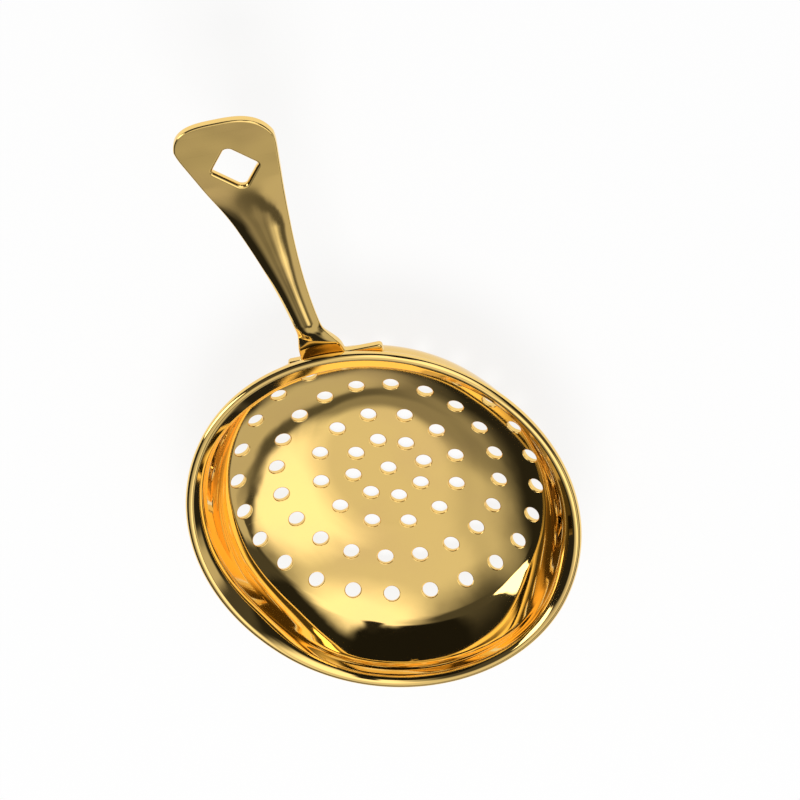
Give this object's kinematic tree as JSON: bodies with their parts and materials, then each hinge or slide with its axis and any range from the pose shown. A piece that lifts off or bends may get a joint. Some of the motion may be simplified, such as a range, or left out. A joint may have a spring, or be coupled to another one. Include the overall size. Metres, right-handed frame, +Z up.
{
  "type": "julep strainer",
  "caption": "Bar strainer with a shallow perforated oval bowl, a hemmed flange and a flared handle that has a hanging hole.",
  "frame": {"origin": "centre of the flat under the bowl, where the strainer rests on a table", "axes": "+X runs from the bowl towards the handle's tip, +Z up out of the open bowl, +Y completes the right-handed frame"},
  "size_m": [0.1505, 0.0748, 0.0289],
  "materials": {
    "gold_plate": "mirror polished gold plating",
    "weld_gold": "satin gold plating over weld metal"
  },
  "bodies": {
    "root": {"bowl": "gold_plate", "handle": "gold_plate", "weld_plugs": "weld_gold"}
  },
  "joints": []
}
